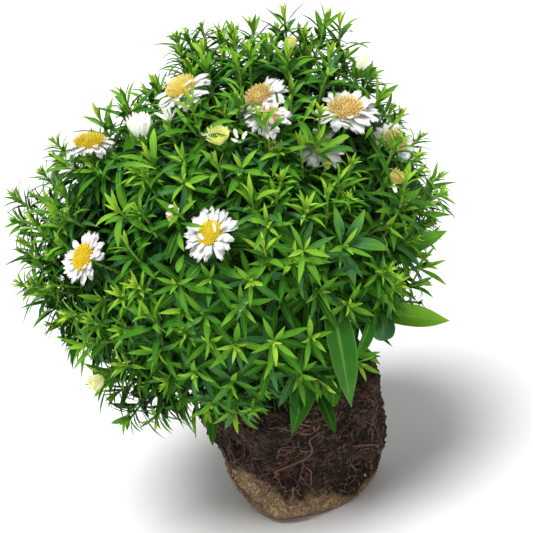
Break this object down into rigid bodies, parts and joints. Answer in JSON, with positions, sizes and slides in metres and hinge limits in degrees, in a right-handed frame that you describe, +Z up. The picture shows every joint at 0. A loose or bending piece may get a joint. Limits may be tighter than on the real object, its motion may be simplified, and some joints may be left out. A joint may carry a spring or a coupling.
{
  "type": "michaelmas daisy with root ball",
  "caption": "Compact michaelmas daisy lifted out of its pot: a domed bush of leafy stems with white, yellow-centred blooms and closed heads, on a tapered root ball that it stands on.",
  "frame": {"origin": "middle of the flat foot that the root ball stands on", "axes": "+Z up through the root ball and the bush, -Y towards the side with the most blooms"},
  "size_m": [0.2997, 0.2836, 0.3337],
  "materials": {
    "soil": "moist dark compost held together by fine brown roots",
    "leaf": "fresh green leaves with a soft sheen, yellower at the shoot tips",
    "petal": "matt white ray petals",
    "disc": "matt yellow disc florets, tan where the bloom is old",
    "closed": "matt cream petals of closed and half-open heads"
  },
  "bodies": {
    "root": {"root_ball": "soil", "leafy_stem_01": "leaf", "leafy_stem_02": "leaf", "leafy_stem_03": "leaf", "leafy_stem_04": "leaf", "leafy_stem_05": "leaf", "leafy_stem_06": "leaf", "leafy_stem_07": "leaf", "leafy_stem_08": "leaf", "leafy_stem_09": "leaf", "leafy_stem_10": "leaf", "leafy_stem_11": "leaf", "leafy_stem_12": "leaf", "leafy_stem_13": "leaf", "leafy_stem_14": "leaf", "leafy_stem_15": "leaf", "leafy_stem_16": "leaf", "leafy_stem_17": "leaf", "leafy_stem_18": "leaf", "leafy_stem_19": "leaf", "leafy_stem_20": "leaf", "leafy_stem_21": "leaf", "leafy_stem_22": "leaf", "leafy_stem_23": "leaf", "leafy_stem_24": "leaf", "bloom_01_rays": "petal", "bloom_01_disc": "disc", "bloom_02_rays": "petal", "bloom_02_disc": "disc", "bloom_03_rays": "petal", "bloom_03_disc": "disc", "bloom_04_rays": "petal", "bloom_04_disc": "disc", "bloom_05_rays": "petal", "bloom_05_disc": "disc", "bloom_06_rays": "petal", "bloom_06_disc": "disc", "bloom_07_rays": "petal", "bloom_07_disc": "disc", "bloom_08_rays": "petal", "bloom_08_disc": "disc", "bloom_09_rays": "petal", "bloom_09_disc": "disc", "bloom_10_rays": "petal", "bloom_10_disc": "disc", "bloom_11_rays": "petal", "bloom_11_disc": "disc", "bloom_12_rays": "petal", "bloom_12_disc": "disc", "closed_head_01": "closed", "closed_head_02": "closed", "closed_head_03": "closed", "closed_head_04": "closed", "closed_head_05": "closed", "closed_head_06": "closed", "closed_head_07": "closed"}
  },
  "joints": []
}
